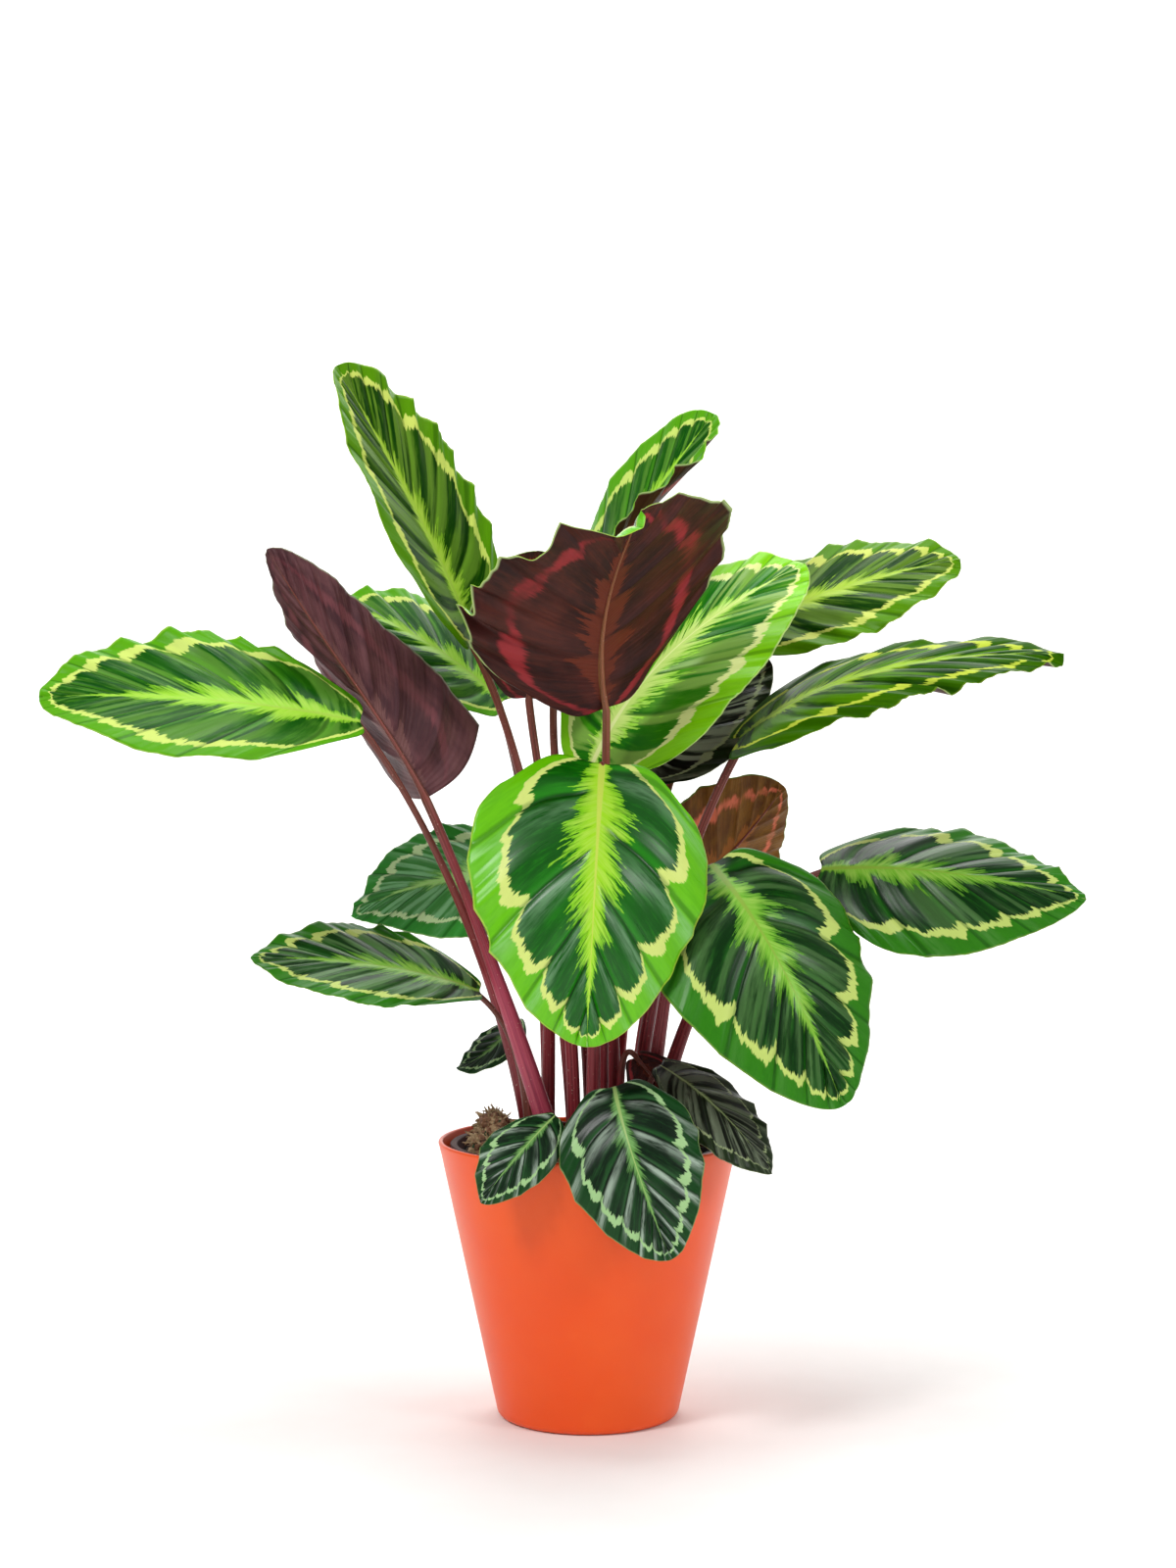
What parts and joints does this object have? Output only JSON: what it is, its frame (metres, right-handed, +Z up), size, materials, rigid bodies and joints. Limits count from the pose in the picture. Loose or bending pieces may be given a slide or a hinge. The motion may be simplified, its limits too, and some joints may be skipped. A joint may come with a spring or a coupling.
{
  "type": "potted calathea",
  "caption": "Potted foliage plant: broad ringed leaves, green above and burgundy below, on red stalks in an orange cover pot.",
  "frame": {"origin": "middle of the cover pot's underside, at the surface that it stands on", "axes": "+Z up along the pot's axis, -Y towards the viewer, +X to the viewer's right"},
  "size_m": [0.606, 0.2857, 0.6326],
  "materials": {
    "cover_pot": "satin",
    "nursery_pot": "satin",
    "growing_mix": "matte",
    "blade": "gloss",
    "stalk": "satin"
  },
  "bodies": {
    "root": {"cover_pot": "cover_pot", "leaf_amber": "blade", "leaf_bright_back": "blade", "leaf_dark_back": "blade", "leaf_front": "blade", "leaf_left_back": "blade", "leaf_left_far": "blade", "leaf_left_low": "blade", "leaf_left_mid": "blade", "leaf_purple": "blade", "leaf_purple_back": "blade", "leaf_right_front": "blade", "leaf_right_low": "blade", "leaf_right_mid": "blade", "leaf_right_top": "blade", "leaf_rim_front": "blade", "leaf_rim_left": "blade", "leaf_rim_purple": "blade", "leaf_rim_right": "blade", "leaf_rolled": "blade", "leaf_small_left": "blade", "leaf_upper_left": "blade", "leaf_upper_right": "blade", "nursery_pot": "nursery_pot", "soil": "growing_mix", "stalk_amber": "stalk", "stalk_bright_back": "stalk", "stalk_dark_back": "stalk", "stalk_front": "stalk", "stalk_left_back": "stalk", "stalk_left_far": "stalk", "stalk_left_low": "stalk", "stalk_left_mid": "stalk", "stalk_purple": "stalk", "stalk_purple_back": "stalk", "stalk_right_front": "stalk", "stalk_right_low": "stalk", "stalk_right_mid": "stalk", "stalk_right_top": "stalk", "stalk_rim_front": "stalk", "stalk_rim_left": "stalk", "stalk_rim_purple": "stalk", "stalk_rim_right": "stalk", "stalk_rolled": "stalk", "stalk_small_left": "stalk", "stalk_upper_left": "stalk", "stalk_upper_right": "stalk"}
  },
  "joints": []
}
